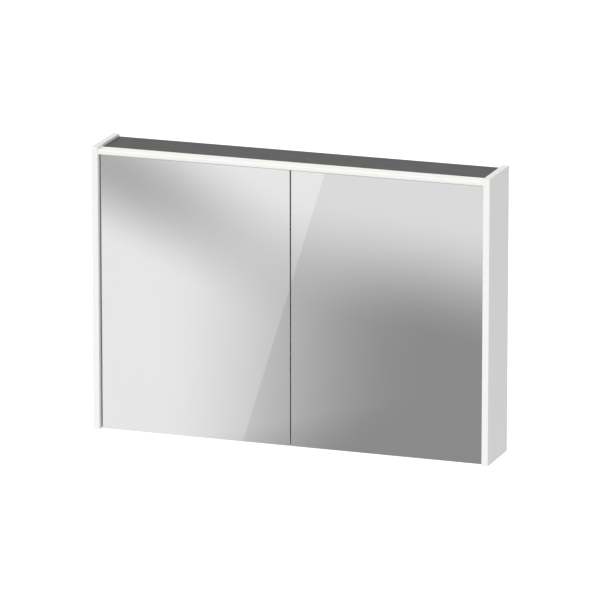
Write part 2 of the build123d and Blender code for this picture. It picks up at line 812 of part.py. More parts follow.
with BuildPart() as switch_lead:
    with BuildLine() as switch_route:
        FilletPolyline(
            (terminal_x - terminal_size[0] / 2, lead_hole_y, lead_exit_z),
            (lead_hole_x, lead_hole_y, lead_exit_z),
            (lead_hole_x, lead_hole_y, top_board_bottom - 2 * unit_wall),
            radius=lead_exit_z - top_board_top - seat_gap,
        )
    with BuildSketch(Plane(origin=switch_route.line @ 0, z_dir=switch_route.line % 0)):
        RegularPolygon(lead_radius, lead_sides)
    sweep(path=switch_route.line)
save(switch_lead, "switch_lead")

with BuildPart() as lead_grommet:
    with BuildSketch(Plane.XY.offset(top_board_bottom)):
        with Locations((lead_hole_x, lead_hole_y)):
            RegularPolygon(grommet_radius, grommet_sides)
            RegularPolygon(lead_hole_radius, lead_sides, mode=Mode.SUBTRACT)
    extrude(amount=board_thickness)
save(lead_grommet, "lead_grommet")

# Switch and socket unit under the top board
socket_x = unit_x + socket_offset
rocker_x = unit_x + rocker_offset
rocker_axis_y = unit_front_y + rocker_pivot_depth
socket_outer = socket_radius + socket_wall
with BuildPart() as unit_housing:
    with BuildSketch(Plane.XZ.offset(-back_front_y)):
        with Locations((unit_x, unit_centre_z)):
            RectangleRounded(unit_width, unit_height, unit_corner_round)
    extrude(amount=unit_depth)
    chamfer(unit_housing.faces().sort_by(Axis.Y)[0].edges(), unit_edge_cut)
    with BuildSketch(Plane.XZ.offset(-back_front_y)):
        with Locations((unit_x, unit_centre_z)):
            Rectangle(unit_width - 2 * unit_wall, unit_height - 2 * unit_wall)
    extrude(amount=unit_depth - unit_wall, mode=Mode.SUBTRACT)
    with BuildSketch(Plane.XZ.offset(-unit_front_y)):
        with Locations((socket_x, unit_centre_z)):
            Circle(socket_outer + fit_gap)
        with Locations((rocker_x, unit_centre_z)):
            Rectangle(rocker_width + 2 * rocker_gap, 2 * (rocker_half_height + rocker_gap))
    extrude(amount=-unit_wall, mode=Mode.SUBTRACT)
    for end in sides:
        boss_x = rocker_x + end * (rocker_width / 2 + rocker_gap)
        slab(
            (boss_x, boss_x + end * rocker_boss),
            (unit_front_y + unit_wall, rocker_axis_y + rocker_boss),
            (unit_centre_z - rocker_boss, unit_centre_z + rocker_boss),
        )
        boss_seat = seat((boss_x, rocker_axis_y, unit_centre_z), (-end, 0, 0))
        bore([boss_seat], rocker_pin_radius + fit_gap, rocker_boss)
    drill([seat((lead_hole_x, lead_hole_y, top_board_bottom), (0, 0, 1))], lead_hole_radius, unit_wall)
save(unit_housing, "switch_unit_housing")

with BuildPart() as socket_insert:
    with BuildSketch(Plane.XZ.offset(-unit_front_y)):
        with Locations((socket_x, unit_centre_z)):
            Circle(socket_outer + socket_rim)
    extrude(amount=socket_wall)
    with BuildSketch(Plane.XZ.offset(-unit_front_y)):
        with Locations((socket_x, unit_centre_z)):
            Circle(socket_outer)
    extrude(amount=-socket_depth)
    socket_mouth_y = unit_front_y - socket_wall
    bore([seat((socket_x, socket_mouth_y, unit_centre_z), (0, -1, 0))], socket_radius, socket_depth)
    pin_xs = [socket_x + end * socket_pin_spacing / 2 for end in sides]
    pin_mouths = [seat((x, socket_mouth_y, unit_centre_z), (0, -1, 0)) for x in pin_xs]
    bore(pin_mouths, socket_pin_radius, socket_depth + socket_wall)
save(socket_insert, "socket_insert")

# Rocker: its ends are arcs about the pivot, and it rests with its lower half pressed in
with BuildPart() as rocker_switch:
    rocker_plane = Plane(
        origin=(rocker_x - rocker_width / 2, rocker_axis_y, unit_centre_z), x_dir=(0, -1, 0), z_dir=(1, 0, 0)
    ).rotated((0, 0, rocker_tilt))
    rocker_face = rocker_pivot_depth + rocker_proud
    with BuildSketch(rocker_plane):
        Circle(rocker_half_height)
        with Locations((rocker_face / 2 - rocker_body / 2, 0)):
            Rectangle(rocker_face + rocker_body, 2 * rocker_half_height, mode=Mode.INTERSECT)
        with Locations((rocker_face + rocker_dish_radius, 0)):
            Circle(rocker_dish_radius + rocker_proud, mode=Mode.SUBTRACT)
    extrude(amount=rocker_width)
    for end in sides:
        pin_end = seat((rocker_x + end * rocker_width / 2, rocker_axis_y, unit_centre_z), (end, 0, 0))
        round_pins([pin_end], rocker_pin_radius, 0, rocker_pin_length)
save(rocker_switch, "rocker_switch")

# Hangers in the void behind the back panel, and their wall plates
with BuildPart() as wall_plates:
    for side in sides:
        with BuildSketch(Plane.YZ.offset(side * screw_spacing_x / 2 - plate_width / 2)):
            with BuildLine():
                Polyline(
                    (0, -plate_top_z),
                    (0, plate_top_z + plate_thickness),
                    (-plate_step, plate_top_z + plate_thickness),
                    (-plate_step, plate_top_z + plate_thickness + plate_lip),
                    (-plate_step - plate_thickness, plate_top_z + plate_thickness + plate_lip),
                    (-plate_step - plate_thickness, plate_top_z),
                    (-plate_thickness, plate_top_z),
                    (-plate_thickness, -plate_top_z),
                    close=True,
                )
            make_face()
        extrude(amount=plate_width)
        plate_holes = [
            seat((side * screw_spacing_x / 2, -plate_thickness, half * screw_spacing_z / 2), (0, -1, 0))
            for half in sides
        ]
        bore(plate_holes, wall_screw_radius, plate_thickness)
save(wall_plates, "wall_plates")

hook_back_y = -(plate_step - hook_thickness) / 2
hook_front_y = hook_back_y - hook_thickness
hanger_front_y = -wall_void + hanger_front_gap
with BuildPart() as hanger_hooks:
    for side in sides:
        slab(
            (side * (screw_spacing_x / 2 - plate_width / 2), side * (inner_x - hook_end_gap)),
            (hook_front_y, hook_back_y),
            (hook_bottom_z, hook_top_z),
        )
    hook_corners = hanger_hooks.edges().filter_by(Axis.Y).group_by(Axis.Z)[0]
    chamfer(hook_corners, hook_thickness)
save(hanger_hooks, "hanger_hooks")

with BuildPart() as hanger_bodies:
    for side in sides:
        slab(
            (side * inner_x, side * (inner_x - hanger_width)),
            (hanger_front_y, -hanger_wall_gap),
            (hanger_bottom_z, hanger_top_z),
        )
    chamfer(hanger_bodies.edges().filter_by(Axis.Y), edge_round)
    for side in sides:
        slab(
            (side * (inner_x - hanger_width), side * (inner_x - hook_end_gap)),
            (hook_front_y - fit_gap, hook_back_y + fit_gap),
            (hook_bottom_z - hook_seat_gap, hook_top_z + hook_seat_gap),
            Mode.SUBTRACT,
        )
        drill(adjuster_seats(side, hanger_front_y), adjuster_radius + fit_gap, hook_front_y - hanger_front_y)
        drill(hanger_seats(side, hanger_width), pilot_radius, hanger_width)
save(hanger_bodies, "hanger_bodies")

with BuildPart() as hanger_adjusters:
    for side in sides:
        pegs(adjuster_seats(side, hanger_front_y), adjuster_radius, hook_front_y - hanger_front_y - fit_gap)
save(hanger_adjusters, "hanger_adjusters")
all_hanger_seats = [s for side in sides for s in hanger_seats(side, hanger_width)]
save(screws(all_hanger_seats, hanger_width + screw_length - fit_gap), "hanger_screws")
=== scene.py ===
# %% [markdown]
# # A wall-hung mirror cabinet
# This script dresses a finished model of a bathroom mirror cabinet: two mirrored doors between
# white side panels, a light bar and a dark cover on top, and glass shelves inside.
# The model comes as a fixed frame of named pieces. They stay where they are, and this script gives
# them their finishes, makes the small round pieces, and sets the floor, the lights and the camera.

import json
import math

import bmesh
import bpy
from mathutils import Matrix, Vector


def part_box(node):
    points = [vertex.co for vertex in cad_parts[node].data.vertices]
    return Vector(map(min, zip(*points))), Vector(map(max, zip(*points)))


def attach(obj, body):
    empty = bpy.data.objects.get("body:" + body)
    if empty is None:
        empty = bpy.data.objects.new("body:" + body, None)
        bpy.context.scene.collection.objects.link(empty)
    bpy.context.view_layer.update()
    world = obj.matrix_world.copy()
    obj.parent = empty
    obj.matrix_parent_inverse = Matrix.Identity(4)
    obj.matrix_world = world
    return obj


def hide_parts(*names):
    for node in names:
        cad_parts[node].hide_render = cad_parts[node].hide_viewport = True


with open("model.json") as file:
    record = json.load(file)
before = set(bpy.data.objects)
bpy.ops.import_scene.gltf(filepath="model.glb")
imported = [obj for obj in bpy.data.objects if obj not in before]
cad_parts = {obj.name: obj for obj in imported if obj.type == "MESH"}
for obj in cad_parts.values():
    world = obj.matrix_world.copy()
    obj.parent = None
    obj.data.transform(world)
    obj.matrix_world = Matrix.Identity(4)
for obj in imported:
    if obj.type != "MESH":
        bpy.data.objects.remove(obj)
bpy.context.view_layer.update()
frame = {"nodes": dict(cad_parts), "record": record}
nodes = frame["nodes"]
scene = bpy.context.scene
MM = 0.001
print("pieces in the frame:", len(nodes))

# %% [markdown]
# ## Helpers for finishes
# Every finish is a small tree of shader nodes around one Principled shader. Patterns read Object
# coordinates, which here are metres in the cabinet's own frame, so a scale can be thought of as
# "how many features in a metre". A short helper that adds a node and links its inputs keeps each
# finish readable. An image could paint the same detail, but it would blur close up, and a pattern
# worked out from coordinates doesn't.

# %% Node helpers
ALONG_X, ALONG_Y, ALONG_Z = range(3)
finishes = {}


def new_finish(name, color, roughness, metallic=0.0, **sockets):
    """A material with one Principled shader; constant values go on its own sockets."""
    material = bpy.data.materials.new(name)
    material.use_nodes = True
    tree = material.node_tree
    shader = tree.nodes["Principled BSDF"]
    shader.inputs["Base Color"].default_value = (*color, 1.0)
    shader.inputs["Roughness"].default_value = roughness
    shader.inputs["Metallic"].default_value = metallic
    for socket, value in sockets.items():
        shader.inputs[socket.replace("_", " ")].default_value = value
    return material, tree, shader


def add(tree, kind, settings=None, **inputs):
    """Add one node. An input goes by its socket's name, or by its place: _0, _1 and so on."""
    node = tree.nodes.new(kind)
    for key, value in (settings or {}).items():
        setattr(node, key, value)
    for key, value in inputs.items():
        socket = node.inputs[int(key[1:]) if key[1:].isdigit() else key.replace("_", " ")]
        if isinstance(value, bpy.types.NodeSocket):
            tree.links.new(value, socket)
        else:
            socket.default_value = value
    return node


def wire(tree, value, shader, socket):
    """Let a pattern drive one of the shader's sockets."""
    tree.links.new(value, shader.inputs[socket])


def calc(tree, operation, *values):
    """Do a sum on patterns with one Math node."""
    inputs = {f"_{index}": value for index, value in enumerate(values)}
    return add(tree, "ShaderNodeMath", {"operation": operation}, **inputs).outputs[0]


print("node helpers ready")

# %% [markdown]
# ## Helpers for patterns
# These few patterns make every finish below: soft clouds, a range of values or of colours driven
# by one, a raised grain, and a mask that tells a sheet's large faces from its narrow edges.

# %% Pattern helpers
def place(tree, scale=(1, 1, 1)):
    """Object coordinates, stretched by a Mapping node."""
    coordinates = add(tree, "ShaderNodeTexCoord").outputs["Object"]
    return add(tree, "ShaderNodeMapping", Vector=coordinates, Scale=scale).outputs["Vector"]


def noise(tree, scale, detail=3.0, stretch=(1, 1, 1)):
    """A soft cloud pattern with so many features in a metre."""
    spot = place(tree, stretch)
    return add(tree, "ShaderNodeTexNoise", Vector=spot, Scale=scale, Detail=detail).outputs["Fac"]


def between(tree, value, low, high):
    """Turn a pattern from 0 to 1 into a range of values."""
    return add(tree, "ShaderNodeMapRange", Value=value, To_Min=low, To_Max=high).outputs["Result"]


def blend(tree, share, first, second):
    """Mix two colours by a pattern from 0 to 1."""
    mix = add(tree, "ShaderNodeMix", {"data_type": "RGBA"}, _0=share, _6=first, _7=second)
    return mix.outputs[2]


def tint(tree, value, dark, light):
    """Turn a pattern from 0 to 1 into a range of colours."""
    return blend(tree, value, (*dark, 1.0), (*light, 1.0))


def bump(tree, shader, height, strength, distance):
    """Raise the surface by a pattern."""
    node = add(tree, "ShaderNodeBump", Height=height, Strength=strength, Distance=distance)
    wire(tree, node.outputs["Normal"], shader, "Normal")


def facing(tree, axis, low=0.8, high=0.95):
    """1 where a face looks along one axis of its piece, either way, and 0 on the edges round it."""
    normal = add(tree, "ShaderNodeTexCoord").outputs["Normal"]
    parts = add(tree, "ShaderNodeSeparateXYZ", Vector=normal)
    size = calc(tree, "ABSOLUTE", parts.outputs[axis])
    ramp = add(tree, "ShaderNodeMapRange", Value=size, From_Min=low, From_Max=high)
    return ramp.outputs["Result"]


print("pattern helpers ready")

# %% [markdown]
# ## White lacquer
# The boards are sprayed with a white satin lacquer. Sprayed lacquer dries with a very fine orange
# peel, a waviness of a few millimetres that only shows in its sheen. A second, much wider pattern
# shifts the tone by about a percent, as real coats do. Both are noise textures, because they have
# no direction.

# %% White lacquer
def lacquer_tone(tree):
    """The coat's white, a little uneven."""
    return tint(tree, noise(tree, scale=6.0), dark=(0.84, 0.84, 0.828), light=(0.875, 0.875, 0.868))


def lacquer_skin(tree, shader, low, high):
    """The coat's uneven sheen and its orange peel."""
    wire(tree, between(tree, noise(tree, scale=45.0), low, high), shader, "Roughness")
    bump(tree, shader, noise(tree, scale=320.0, detail=2.0), strength=0.06, distance=0.4 * MM)


material, tree, shader = new_finish(
    "white_lacquer", color=(0.86, 0.86, 0.85), roughness=0.38, Specular_IOR_Level=0.3
)
wire(tree, lacquer_tone(tree), shader, "Base Color")
lacquer_skin(tree, shader, low=0.32, high=0.46)
finishes["white_lacquer"] = material
print("made", material.name)

# %% [markdown]
# ## Door boards
# The doors' boards carry the same lacquer, but their upright edges are painted near-black, partly
# as a dark grey edge band and partly as painted shade for the seam between the doors, which makes
# that seam a dark line. The finish asks each face which way it looks: only faces that look along X
# are dark, and the top and bottom edges stay white.

# %% Door boards
material, tree, shader = new_finish(
    "door_board", color=(0.84, 0.84, 0.83), roughness=0.4, Specular_IOR_Level=0.4
)
band_grain = noise(tree, scale=900.0, detail=2.0)
# Painted shade: the upright edges are near-black, partly a dark edge band and partly the seam's shade between
# the doors.
dark_edge_and_seam_shade = tint(tree, band_grain, dark=(0.03, 0.031, 0.031), light=(0.045, 0.046, 0.046))
coat = blend(tree, facing(tree, ALONG_X), lacquer_tone(tree), dark_edge_and_seam_shade)
wire(tree, coat, shader, "Base Color")
lacquer_skin(tree, shader, low=0.34, high=0.5)
finishes["door_board"] = material
print("made", material.name)

# %% [markdown]
# ## Silvered mirror
# A mirror is float glass with silver behind it. Seen from the front it behaves as a very smooth
# metal. Its ground edges show the glass itself, which is pale green, so the finish asks each face
# which way it looks: faces that look along Y are silver and the narrow edges round them are glass.
# The upright edges are a darker glass green as painted seam shade, and the edges that look up or down a
# lighter one as painted light, which hides the shaded gap under the light bar.
# A faint film of wiped-off water changes the roughness a little, so that the reflection isn't
# perfectly hard.

# %% Silvered mirror
EDGE_ROUGHNESS = 0.22
material, tree, shader = new_finish(
    "silvered_mirror", color=(0.925, 0.925, 0.925), roughness=0.01, metallic=1.0
)
silver = facing(tree, ALONG_Y, low=0.86, high=0.97)
wire(tree, silver, shader, "Metallic")
film = noise(tree, scale=9.0, detail=5.0, stretch=(1, 1, 0.4))
silver_tone = tint(tree, film, dark=(0.913, 0.914, 0.913), light=(0.935, 0.936, 0.935))
# Painted shade and light: upright glass edges darker for the seam's shade, edges looking up or down lighter
# against the shaded gap under the light bar.
edge_glass_painted_light_and_shade = tint(tree, facing(tree, ALONG_Z), dark=(0.52, 0.6, 0.57), light=(0.85, 0.9, 0.88))
wire(tree, blend(tree, silver, edge_glass_painted_light_and_shade, silver_tone), shader, "Base Color")
polish = between(tree, film, low=0.004, high=0.022)
gloss = add(tree, "ShaderNodeMix", {"data_type": "FLOAT"}, _0=silver, _2=EDGE_ROUGHNESS, _3=polish)
wire(tree, gloss.outputs[0], shader, "Roughness")
finishes["silvered_mirror"] = material
print("made", material.name)

# %% [markdown]
# ## Clear glass
# The shelves are clear float glass. Light that enters leaves again almost unchanged through the
# large faces, but along the edges it has gone through a lot of glass and picked up its green.
# True absorption would do this slowly; tinting the faces that don't look up or down, and letting
# less light through them, gives the same look at once.

# %% Clear glass
material, tree, shader = new_finish(
    "clear_glass", color=(0.95, 0.98, 0.965), roughness=0.02, IOR=1.5, Transmission_Weight=1.0
)
flat = facing(tree, ALONG_Z)
wire(tree, tint(tree, flat, dark=(0.5, 0.74, 0.65), light=(0.95, 0.985, 0.97)), shader, "Base Color")
wire(tree, between(tree, flat, low=0.4, high=1.0), shader, "Transmission Weight")
smears = noise(tree, scale=14.0, detail=5.0)
wire(tree, between(tree, smears, low=0.0, high=0.05), shader, "Roughness")
finishes["clear_glass"] = material
print("made", material.name)

# %% [markdown]
# ## Anthracite powder coat
# The top cover is folded sheet metal with a dark powder coat. Powder melts into a grainy skin with
# grains well under a millimetre, which breaks up its highlights. Fine noise drives the bump and a
# slight change of tone, and a wider one the roughness.

# %% Anthracite powder coat
material, tree, shader = new_finish(
    "anthracite_powder", color=(0.06, 0.06, 0.06), roughness=0.55, Specular_IOR_Level=0.3
)
specks = noise(tree, scale=1400.0, detail=2.0)
wire(tree, tint(tree, specks, dark=(0.05, 0.05, 0.051), light=(0.07, 0.07, 0.069)), shader, "Base Color")
wire(tree, between(tree, noise(tree, scale=30.0), low=0.48, high=0.64), shader, "Roughness")
bump(tree, shader, noise(tree, scale=1900.0, detail=2.0), strength=0.25, distance=0.12 * MM)
finishes["anthracite_metal"] = material
print("made", material.name)

# %% [markdown]
# ## Drawn aluminium
# The light bar is aluminium that was drawn through a die, so its fine lines run along X, and it is
# anodised to a matt, nearly white silver that scatters much of its light. Stretching a noise
# pattern along X makes such lines. A brushed look could also come from an anisotropic shader, but
# drawn lines are coarse enough to be seen one by one.

# %% Drawn aluminium
material, tree, shader = new_finish(
    "satin_aluminium", color=(0.89, 0.89, 0.89), roughness=0.45, metallic=0.4
)
lines = noise(tree, scale=1500.0, stretch=(0.01, 1, 1))
wire(tree, tint(tree, lines, dark=(0.86, 0.86, 0.86), light=(0.92, 0.92, 0.92)), shader, "Base Color")
wire(tree, between(tree, lines, low=0.38, high=0.54), shader, "Roughness")
bump(tree, shader, lines, strength=0.08, distance=0.1 * MM)
finishes["satin_aluminium"] = material
print("made", material.name)

# %% [markdown]
# ## Plated steel
# The screws, the hooks and plates of the hangers and the strike plates are zinc plated, and the
# hinges and the shelf pins nickel plated. Neither plating has a direction: zinc shows a faint
# crystal pattern, which Voronoi cells imitate, and nickel only a soft cloud in its polish.

# %% Plated steel
material, tree, shader = new_finish("zinc_plate", color=(0.62, 0.63, 0.64), roughness=0.36, metallic=1.0)
crystals = add(tree, "ShaderNodeTexVoronoi", Vector=place(tree), Scale=380.0).outputs["Color"]
grey = add(tree, "ShaderNodeSeparateColor", Color=crystals).outputs[0]
wire(tree, tint(tree, grey, dark=(0.56, 0.57, 0.585), light=(0.67, 0.68, 0.69)), shader, "Base Color")
wire(tree, between(tree, grey, low=0.28, high=0.44), shader, "Roughness")
finishes["zinc_steel"] = material
print("made", material.name)

material, tree, shader = new_finish("nickel_plate", color=(0.72, 0.71, 0.69), roughness=0.16, metallic=1.0)
cloud = noise(tree, scale=160.0, detail=4.0)
wire(tree, tint(tree, cloud, dark=(0.67, 0.66, 0.64), light=(0.76, 0.755, 0.735)), shader, "Base Color")
wire(tree, between(tree, cloud, low=0.1, high=0.26), shader, "Roughness")
finishes["nickel_steel"] = material
print("made", material.name)

# %% [markdown]
# ## Plastics and rubber
# Moulded plastic copies the spark-eroded skin of its mould, a fine even grain. The opal cover of
# the light bar is a milky acrylic: light goes in and scatters, so it gets some subsurface light,
# and because the lamp behind it is on, it glows evenly.
# One function makes the whole family, because they differ only in colour, gloss and grain.

# %% Plastics and rubber
def moulded(slot, dark, light, gloss, grain, depth, **sockets):
    """A moulded finish: two tones, a range of roughness, and a grain with so many dots in a metre."""
    material, tree, shader = new_finish(slot, light, gloss[0], **sockets)
    wire(tree, tint(tree, noise(tree, scale=24.0), dark, light), shader, "Base Color")
    wire(tree, between(tree, noise(tree, scale=130.0), *gloss), shader, "Roughness")
    bump(tree, shader, noise(tree, scale=grain, detail=1.0), strength=depth, distance=0.1 * MM)
    finishes[slot] = material
    print("made", slot)


milky = {"Subsurface_Weight": 0.35, "Subsurface_Radius": (0.004, 0.004, 0.0035), "Subsurface_Scale": 1.0}
lit = {"Emission_Color": (1.0, 0.95, 0.9, 1.0), "Emission_Strength": 0.28}
soft = {"Subsurface_Weight": 0.5, "Subsurface_Radius": (0.003, 0.003, 0.003), "Subsurface_Scale": 1.0}
moulded(
    "opal_acrylic", dark=(0.61, 0.605, 0.59), light=(0.63, 0.625, 0.61), gloss=(0.24, 0.36),
    grain=900.0, depth=0.03, **milky, **lit,
)
moulded(
    "white_plastic", dark=(0.83, 0.83, 0.815), light=(0.865, 0.865, 0.855), gloss=(0.26, 0.4),
    grain=2600.0, depth=0.12,
)
moulded(
    "grey_plastic", dark=(0.42, 0.43, 0.44), light=(0.47, 0.48, 0.49), gloss=(0.42, 0.58),
    grain=2200.0, depth=0.2,
)
moulded("nylon", dark=(0.8, 0.79, 0.74), light=(0.86, 0.85, 0.81), gloss=(0.4, 0.52), grain=1800.0, depth=0.1)
moulded(
    "magnet_cap", dark=(0.13, 0.13, 0.13), light=(0.17, 0.17, 0.17), gloss=(0.4, 0.55),
    grain=2200.0, depth=0.15,
)
moulded(
    "clear_silicone", dark=(0.76, 0.76, 0.74), light=(0.82, 0.82, 0.8), gloss=(0.2, 0.34),
    grain=1500.0, depth=0.05, **soft,
)
moulded(
    "cable_rubber", dark=(0.76, 0.76, 0.75), light=(0.81, 0.81, 0.8), gloss=(0.4, 0.55),
    grain=1700.0, depth=0.1,
)

# %% [markdown]
# ## Beech, circuit board and light-emitting chips
# These sit inside the cabinet and show only when it is taken apart, but they are finished all the
# same. Beech has short dark flecks along its grain. The circuit board is white with faint copper
# tracks along X under its lacquer, made with a band texture. The chips are yellow phosphor.

# %% Beech, circuit board and chips
material, tree, shader = new_finish("beech", color=(0.7, 0.52, 0.34), roughness=0.6)
flecks = noise(tree, scale=900.0, detail=2.0, stretch=(0.12, 1, 1))
wire(tree, tint(tree, flecks, dark=(0.58, 0.4, 0.25), light=(0.76, 0.58, 0.39)), shader, "Base Color")
bump(tree, shader, flecks, strength=0.2, distance=0.2 * MM)
finishes["beech"] = material

material, tree, shader = new_finish("circuit_board", color=(0.84, 0.85, 0.83), roughness=0.4)
bands = {"wave_type": "BANDS", "bands_direction": "Y"}
tracks = add(tree, "ShaderNodeTexWave", bands, Vector=place(tree), Scale=60.0).outputs["Fac"]
wire(tree, tint(tree, tracks, dark=(0.78, 0.77, 0.72), light=(0.86, 0.87, 0.855)), shader, "Base Color")
finishes["circuit_board"] = material

material, tree, shader = new_finish("led_phosphor", color=(0.88, 0.76, 0.3), roughness=0.35)
dust = noise(tree, scale=700.0)
wire(tree, tint(tree, dust, dark=(0.84, 0.7, 0.24), light=(0.91, 0.81, 0.38)), shader, "Base Color")
finishes["led_phosphor"] = material
print("made", len(finishes), "finishes")

# %% [markdown]
# ## Dress the frame
# The record that comes with the frame says which finish each piece takes. Going through it gives
# every piece its material in one loop, and no piece can be forgotten.

# %% Dress the frame
slot_of = {entry["node"]: entry["material_slot"] for entry in frame["record"]["subparts"]}


def dress(piece, slot):
    """Give a piece one finish."""
    piece.data.materials.clear()
    piece.data.materials.append(finishes[slot])


for name, piece in nodes.items():
    dress(piece, slot_of[name])
print("dressed", len(nodes), "pieces")

# %% [markdown]
# ## Small round pieces
# The frame's screws and pins are simple prisms, enough for a machine to test their fit. Here they
# are replaced by the pieces as they look. A finished mesh needs a few things each time: merged
# points, faces that look outwards, smooth shading with sharp creases, a finish, and a body of the
# frame to move with. One helper does this for every new mesh.

# %% Helpers for new pieces
CREASE = math.radians(38)
MERGE = 0.001 * MM


def mesh_from(name, bm):
    """Turn a bmesh into a mesh and let go of it."""
    mesh = bpy.data.meshes.new(name)
    bm.to_mesh(mesh)
    bm.free()
    return mesh


def show(name, data):
    """Put a mesh, a curve, a lamp or a camera into the scene."""
    thing = bpy.data.objects.new(name, data)
    scene.collection.objects.link(thing)
    return thing


def finish_piece(name, bm, slot, body, *replaced):
    """Turn a bmesh into a piece that rides on a body and stands for some of the frame's pieces."""
    bmesh.ops.remove_doubles(bm, verts=bm.verts, dist=MERGE)
    bmesh.ops.recalc_face_normals(bm, faces=bm.faces)
    for face in bm.faces:
        face.smooth = True
    for edge in bm.edges:
        edge.smooth = len(edge.link_faces) == 2 and edge.calc_face_angle() < CREASE
    piece = show(name, mesh_from(name, bm))
    dress(piece, slot)
    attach(piece, body)
    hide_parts(*replaced)
    print("made", name, "with", len(piece.data.polygons), "faces")


print("piece helpers ready")

# %% [markdown]
# ## Where the pieces go
# A piece of the frame can hold many solids, such as all screws of one kind. Points that are linked
# by edges belong to one solid, so walking along the edges finds them, and the box round each says
# where its screw or pin goes. A shape is then modelled once and stamped in every place.

# %% Helpers for places
def islands(name):
    """The box of each separate solid in one of the frame's pieces."""
    bm = bmesh.new()
    bm.from_mesh(nodes[name].data)
    bmesh.ops.remove_doubles(bm, verts=bm.verts, dist=MERGE)
    left = set(bm.verts)
    boxes = []
    while left:
        group = [left.pop()]
        for vert in group:
            for edge in vert.link_edges:
                other = edge.other_vert(vert)
                if other in left:
                    left.remove(other)
                    group.append(other)
        low = Vector([min(vert.co[axis] for vert in group) for axis in range(3)])
        high = Vector([max(vert.co[axis] for vert in group) for axis in range(3)])
        boxes.append((low, high))
    bm.free()
    return boxes


def stamp(target, template, matrix):
    """Add a copy of a finished shape to a bmesh, moved into place."""
    count = len(target.verts)
    target.from_mesh(template)
    target.verts.ensure_lookup_table()
    bmesh.ops.transform(target, matrix=matrix, verts=target.verts[count:])


def toward(point, axis):
    """A matrix that puts a shape's foot on a point and turns its Z along an axis."""
    return Matrix.Translation(point) @ Vector(axis).to_track_quat("Z", "Y").to_matrix().to_4x4()


def inward(point):
    """The way from a side panel to the middle of the cabinet."""
    return Vector((-1, 0, 0) if point.x > 0 else (1, 0, 0))


print("place helpers ready")

# %% [markdown]
# ## The shape of a screw
# A pan-head screw has a round, slightly domed head with a cross-shaped recess. It starts from a
# grid of six by six squares: the squares of the cross are pushed in, and the grid's square outline
# is bridged to a slightly lower circle, which is then pulled down to make the side of the head. A
# boolean cut would also work, but it leaves long thin faces round the cross.

# %% The shape of a screw
HEAD_RADIUS = 3.5 * MM
HEAD_HEIGHT = 1.6 * MM
RIM_HEIGHT = 0.8 * HEAD_HEIGHT
SHANK_RADIUS = 1.7 * MM
RECESS_DEPTH = 1.0 * MM
RECESS_ARM = 0.5 * MM
GRID_HALF = 2.1 * MM
GRID_CELLS = 6
CELL = 2 * GRID_HALF / GRID_CELLS
CROSS_REACH = GRID_HALF - CELL + MERGE


def points_of(made):
    """The points among the things that an operator made."""
    return [item for item in made["geom"] if isinstance(item, bmesh.types.BMVert)]


def screw_head(bm):
    """The domed top, the side and the underside of the head; gives back the underside."""
    top = Matrix.Translation((0, 0, HEAD_HEIGHT))
    grid = bmesh.ops.create_grid(bm, x_segments=GRID_CELLS, y_segments=GRID_CELLS, size=GRID_HALF, matrix=top)
    for vert in grid["verts"]:
        for axis in (ALONG_X, ALONG_Y):
            if abs(abs(vert.co[axis]) - CELL) < MERGE:
                vert.co[axis] *= RECESS_ARM / CELL
    outline = [edge for edge in bm.edges if edge.is_boundary]
    lower = Matrix.Translation((0, 0, RIM_HEIGHT))
    rim = bmesh.ops.create_circle(bm, segments=4 * GRID_CELLS, radius=HEAD_RADIUS, matrix=lower)
    rim_edges = list({edge for vert in rim["verts"] for edge in vert.link_edges})
    bmesh.ops.bridge_loops(bm, edges=outline + rim_edges)
    side = bmesh.ops.extrude_edge_only(bm, edges=rim_edges)
    foot = [item for item in side["geom"] if isinstance(item, bmesh.types.BMEdge) and item.is_boundary]
    bmesh.ops.translate(bm, verts=points_of(side), vec=(0, 0, -RIM_HEIGHT))
    return bmesh.ops.contextual_create(bm, geom=foot)["faces"]


def push_in_cross(bm):
    """Push the squares of the cross into the head."""
    cross = []
    for face in bm.faces:
        middle = face.calc_center_median()
        across, along = sorted((abs(middle.x), abs(middle.y)))
        if middle.z > HEAD_HEIGHT - MERGE and across < RECESS_ARM and along < CROSS_REACH:
            cross.append(face)
    pushed = bmesh.ops.extrude_face_region(bm, geom=cross)
    bmesh.ops.delete(bm, geom=cross, context="FACES")
    bmesh.ops.translate(bm, verts=points_of(pushed), vec=(0, 0, -RECESS_DEPTH))


def screw_shape(shank_length):
    """One screw that stands on its head's underside, with its shank below."""
    bm = bmesh.new()
    under = screw_head(bm)
    bmesh.ops.inset_region(bm, faces=under, thickness=HEAD_RADIUS - SHANK_RADIUS)
    shank = bmesh.ops.extrude_face_region(bm, geom=under)
    bmesh.ops.delete(bm, geom=under, context="FACES_ONLY")
    bmesh.ops.translate(bm, verts=points_of(shank), vec=(0, 0, -shank_length))
    push_in_cross(bm)
    bmesh.ops.recalc_face_normals(bm, faces=bm.faces)
    return mesh_from("screw_shape", bm)


print("a screw head is", round(2 * HEAD_RADIUS / MM, 1), "mm wide")

# %% [markdown]
# ## Screws in place
# Screws of the hinges, the cover and the hangers go into the side panels, so their heads look to
# the middle of the cabinet. Those of the rail and the driver are driven from above, and those of
# the hinge shoes from behind the doors. A screw takes its length from the prism that it replaces.

# %% Screws in place
def drive_screws(name, body, axis_of):
    """Put a screw in place of each prism; axis_of says which way a head looks."""
    bm = bmesh.new()
    for low, high in islands(name):
        middle = (low + high) / 2
        axis = Vector(axis_of(middle))
        half = abs((high - low).dot(axis)) / 2
        shape = screw_shape(2 * half - HEAD_HEIGHT)
        stamp(bm, shape, toward(middle + axis * (half - HEAD_HEIGHT), axis))
        bpy.data.meshes.remove(shape)
    finish_piece("round_" + name, bm, slot_of[name], body, name)


for name in ("hinge_arm_screws", "cover_screws", "hanger_screws"):
    drive_screws(name, "carcass", inward)
for name in ("rail_screws", "driver_screws"):
    drive_screws(name, "carcass", lambda point: (0, 0, 1))
for side in ("left", "right"):
    drive_screws(side + "_shoe_screws", side + "_door", lambda point: (0, 1, 0))

